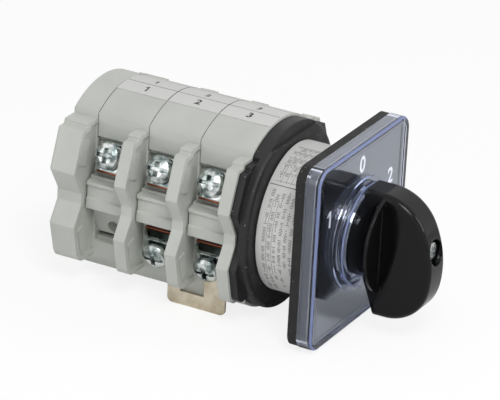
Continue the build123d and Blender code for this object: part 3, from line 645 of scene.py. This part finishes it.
# Moulded tab under the body, behind the link's notch: its outline as (z, y), and its rings as
# (depth, inset) under the flat side. The inset bevels its outer edge, save at the top.
TAB_OUTLINE = [
    (-18.9, 37.2),
    (-29.2, 37.2),
    (-29.8, 37.8),
    (-29.8, 47.0),
    (-29.2, 47.6),
    (-18.9, 47.6),
]
TAB_RINGS = [(1.9, 0.0), (0.25, 0.0), (0.02, 0.25)]
TAB_MIDDLE = 42.4
TAB_LOW = -28.0
tab = []
for depth, inset in TAB_RINGS:
    ring = []
    for z, y in TAB_OUTLINE:
        inner_y = y - math.copysign(inset, y - TAB_MIDDLE)
        inner_z = z + inset if z < TAB_LOW else z
        ring.append(Vector((depth - BODY_HALF_W, inner_y, inner_z)) * MM)
    tab.append(ring)
add_piece("link_tab", make_mesh("link_tab", [tab]), looks["grey_plastic"])

low_seams = []
for joint in JOINTS:
    low_seams.append((-BODY_HALF_ARC, joint - SEAM_HALF, BODY_HALF_ARC, joint + SEAM_HALF))
bars("low_seams", low_seams, under_body, seam_shade)

# Rating label: a ruled table, then rows of small strokes, which are no letters
MARK_H = 1.2
ROW_COUNT = 7
ROW_PITCH = 1.95
ROW_FRONT = LABEL_FRONT + 1.1
TABLE_START = 1.5
TABLE_END = 19.0
CELL_W = 3.4
CELL_COUNT = 5
RULE_W = 0.09
RULE_OFFSET = 0.4
TEXT_START = TABLE_END + 2.6
ROW_ENDS = (33, 60, 49, 58, 54, 61, 61)
UNDERLINED = (4, 5)
random.seed(7)
label_marks = []


def stroke(u, v):
    """An upright mark, a pair of them or a flat bar. Returns the step to the next mark."""
    kind = random.random()
    if kind < 0.35:
        label_marks.append((u, v, u + 0.16, v + MARK_H))
        return 0.55
    if kind < 0.75:
        label_marks.append((u, v, u + 0.15, v + MARK_H))
        label_marks.append((u + 0.5, v + 0.15, u + 0.65, v + 1.05))
        return 1.0
    label_marks.append((u, v + 0.5, u + 0.6, v + 0.68))
    return 0.95


def row_of_strokes(u, end, v):
    while u < end:
        word_end = u + random.uniform(1.5, 5.0)
        while u < min(word_end, end):
            u += stroke(u, v)
        u += random.uniform(0.7, 1.6)


for row in range(ROW_COUNT):
    v = ROW_FRONT + row * ROW_PITCH
    for cell in range(CELL_COUNT):
        u = TABLE_START + CELL_W * cell
        start = u + 0.5
        for _ in range(random.choice((1, 2, 2, 3))):
            if start < u + CELL_W - 0.9:
                start += stroke(start, v)
    rule = v - RULE_OFFSET
    label_marks.append((TABLE_START, rule, TABLE_END, rule + RULE_W))
table_rear = ROW_FRONT + ROW_COUNT * ROW_PITCH - RULE_OFFSET
for column in range(CELL_COUNT + 1):
    u = TABLE_START + CELL_W * column
    label_marks.append((u, ROW_FRONT - RULE_OFFSET, u + RULE_W, table_rear))
divider = TABLE_END + 0.9
label_marks.append((divider, LABEL_FRONT + 0.4, divider + 0.22, LABEL_REAR - 0.4))
for row, end in enumerate(ROW_ENDS):
    row_of_strokes(TEXT_START + (row % 3) * 0.8, end, ROW_FRONT + row * ROW_PITCH)
for row in UNDERLINED:
    v = ROW_FRONT + row * ROW_PITCH + 1.5
    label_marks.append((TABLE_END + 6.0, v, 52.0, v + RULE_W))
bars("label_marks", label_marks, on_neck, black_ink)


# Floor, world, lamps and camera


def plain_floor(name, color):
    """Matt floor. The camera sees it nearly white, with the shadow left in it."""
    mat, tree, shader = new_material(name, color, 0.9)
    glow = tree.nodes.new("ShaderNodeEmission")
    glow.inputs["Strength"].default_value = 1.05
    path = tree.nodes.new("ShaderNodeLightPath")
    share = calc(tree, "MULTIPLY", path.outputs["Is Camera Ray"], 0.79)
    blend(tree, share, shader.outputs["BSDF"], glow.outputs["Emission"])
    return mat


REACH = 4.0
low_z = cad_box[0][2]
signs = ((-1, -1), (1, -1), (1, 1), (-1, 1))
corners = [(REACH * x, REACH * y, low_z) for x, y in signs]
floor_mesh = bpy.data.meshes.new("floor")
floor_mesh.from_pydata(corners, [], [(0, 1, 2, 3)])
floor_mesh.materials.append(plain_floor("floor", (0.93, 0.93, 0.93)))
floor = bpy.data.objects.new("floor", floor_mesh)
bpy.context.scene.collection.objects.link(floor)

# White to the camera, in mirrors and through clear parts, and dimmer as a light
world = bpy.data.worlds.new("studio")
bpy.context.scene.world = world
world.use_nodes = True
world_tree = world.node_tree
background = world_tree.nodes["Background"]
background.inputs["Color"].default_value = (1, 1, 1, 1)
rays = world_tree.nodes.new("ShaderNodeLightPath").outputs
mirrored = calc(world_tree, "MAXIMUM", rays["Is Glossy Ray"], rays["Is Transmission Ray"])
seen = calc(world_tree, "MAXIMUM", rays["Is Camera Ray"], mirrored)
world_tree.links.new(span(world_tree, seen, 0.4, 1.0, 0.0, 1.0), background.inputs["Strength"])


AIM = Vector((0, 0.03, 0))


def area(name, place, size, power):
    """A lamp that is aimed at the middle of the switch."""
    light = bpy.data.lights.new(name, "AREA")
    light.shape = "RECTANGLE"
    light.size, light.size_y = size
    light.energy = power
    lamp = bpy.data.objects.new(name, light)
    lamp.location = place
    lamp.rotation_euler = (AIM - Vector(place)).to_track_quat("-Z", "Y").to_euler()
    bpy.context.scene.collection.objects.link(lamp)


area("key", (-0.5, -0.35, 0.75), (0.35, 0.35), 4.0)
area("fill", (-0.9, 0.5, 0.35), (0.6, 0.6), 0.7)
area("front", (0.35, -0.9, 0.5), (0.4, 0.5), 2.8)

scene = bpy.context.scene
scene.view_settings.view_transform = "Standard"

# Camera fitted to the photo: its focal length in pixels, its place in metres and its three axes
IMAGE_W = 500
SENSOR_W = 36
FOCAL_PX = 3808.6154
RIGHT = Vector((0.47935, -0.876243, 0.049218))
UP = Vector((0.332155, 0.233044, 0.913982))
BACK = Vector((-0.81234, -0.42177, 0.402758))
camera_data = bpy.data.cameras.new("camera")
camera_data.sensor_fit = "HORIZONTAL"
camera_data.sensor_width = SENSOR_W
camera_data.lens = FOCAL_PX * SENSOR_W / IMAGE_W
camera_data.shift_y = -2.6 / IMAGE_W
camera_data.clip_start = 0.05
camera = bpy.data.objects.new("camera", camera_data)
axes = Matrix((RIGHT, UP, BACK)).transposed().to_4x4()
camera.matrix_world = Matrix.Translation((-1.02586, -0.499908, 0.510723)) @ axes
scene.collection.objects.link(camera)
scene.camera = camera
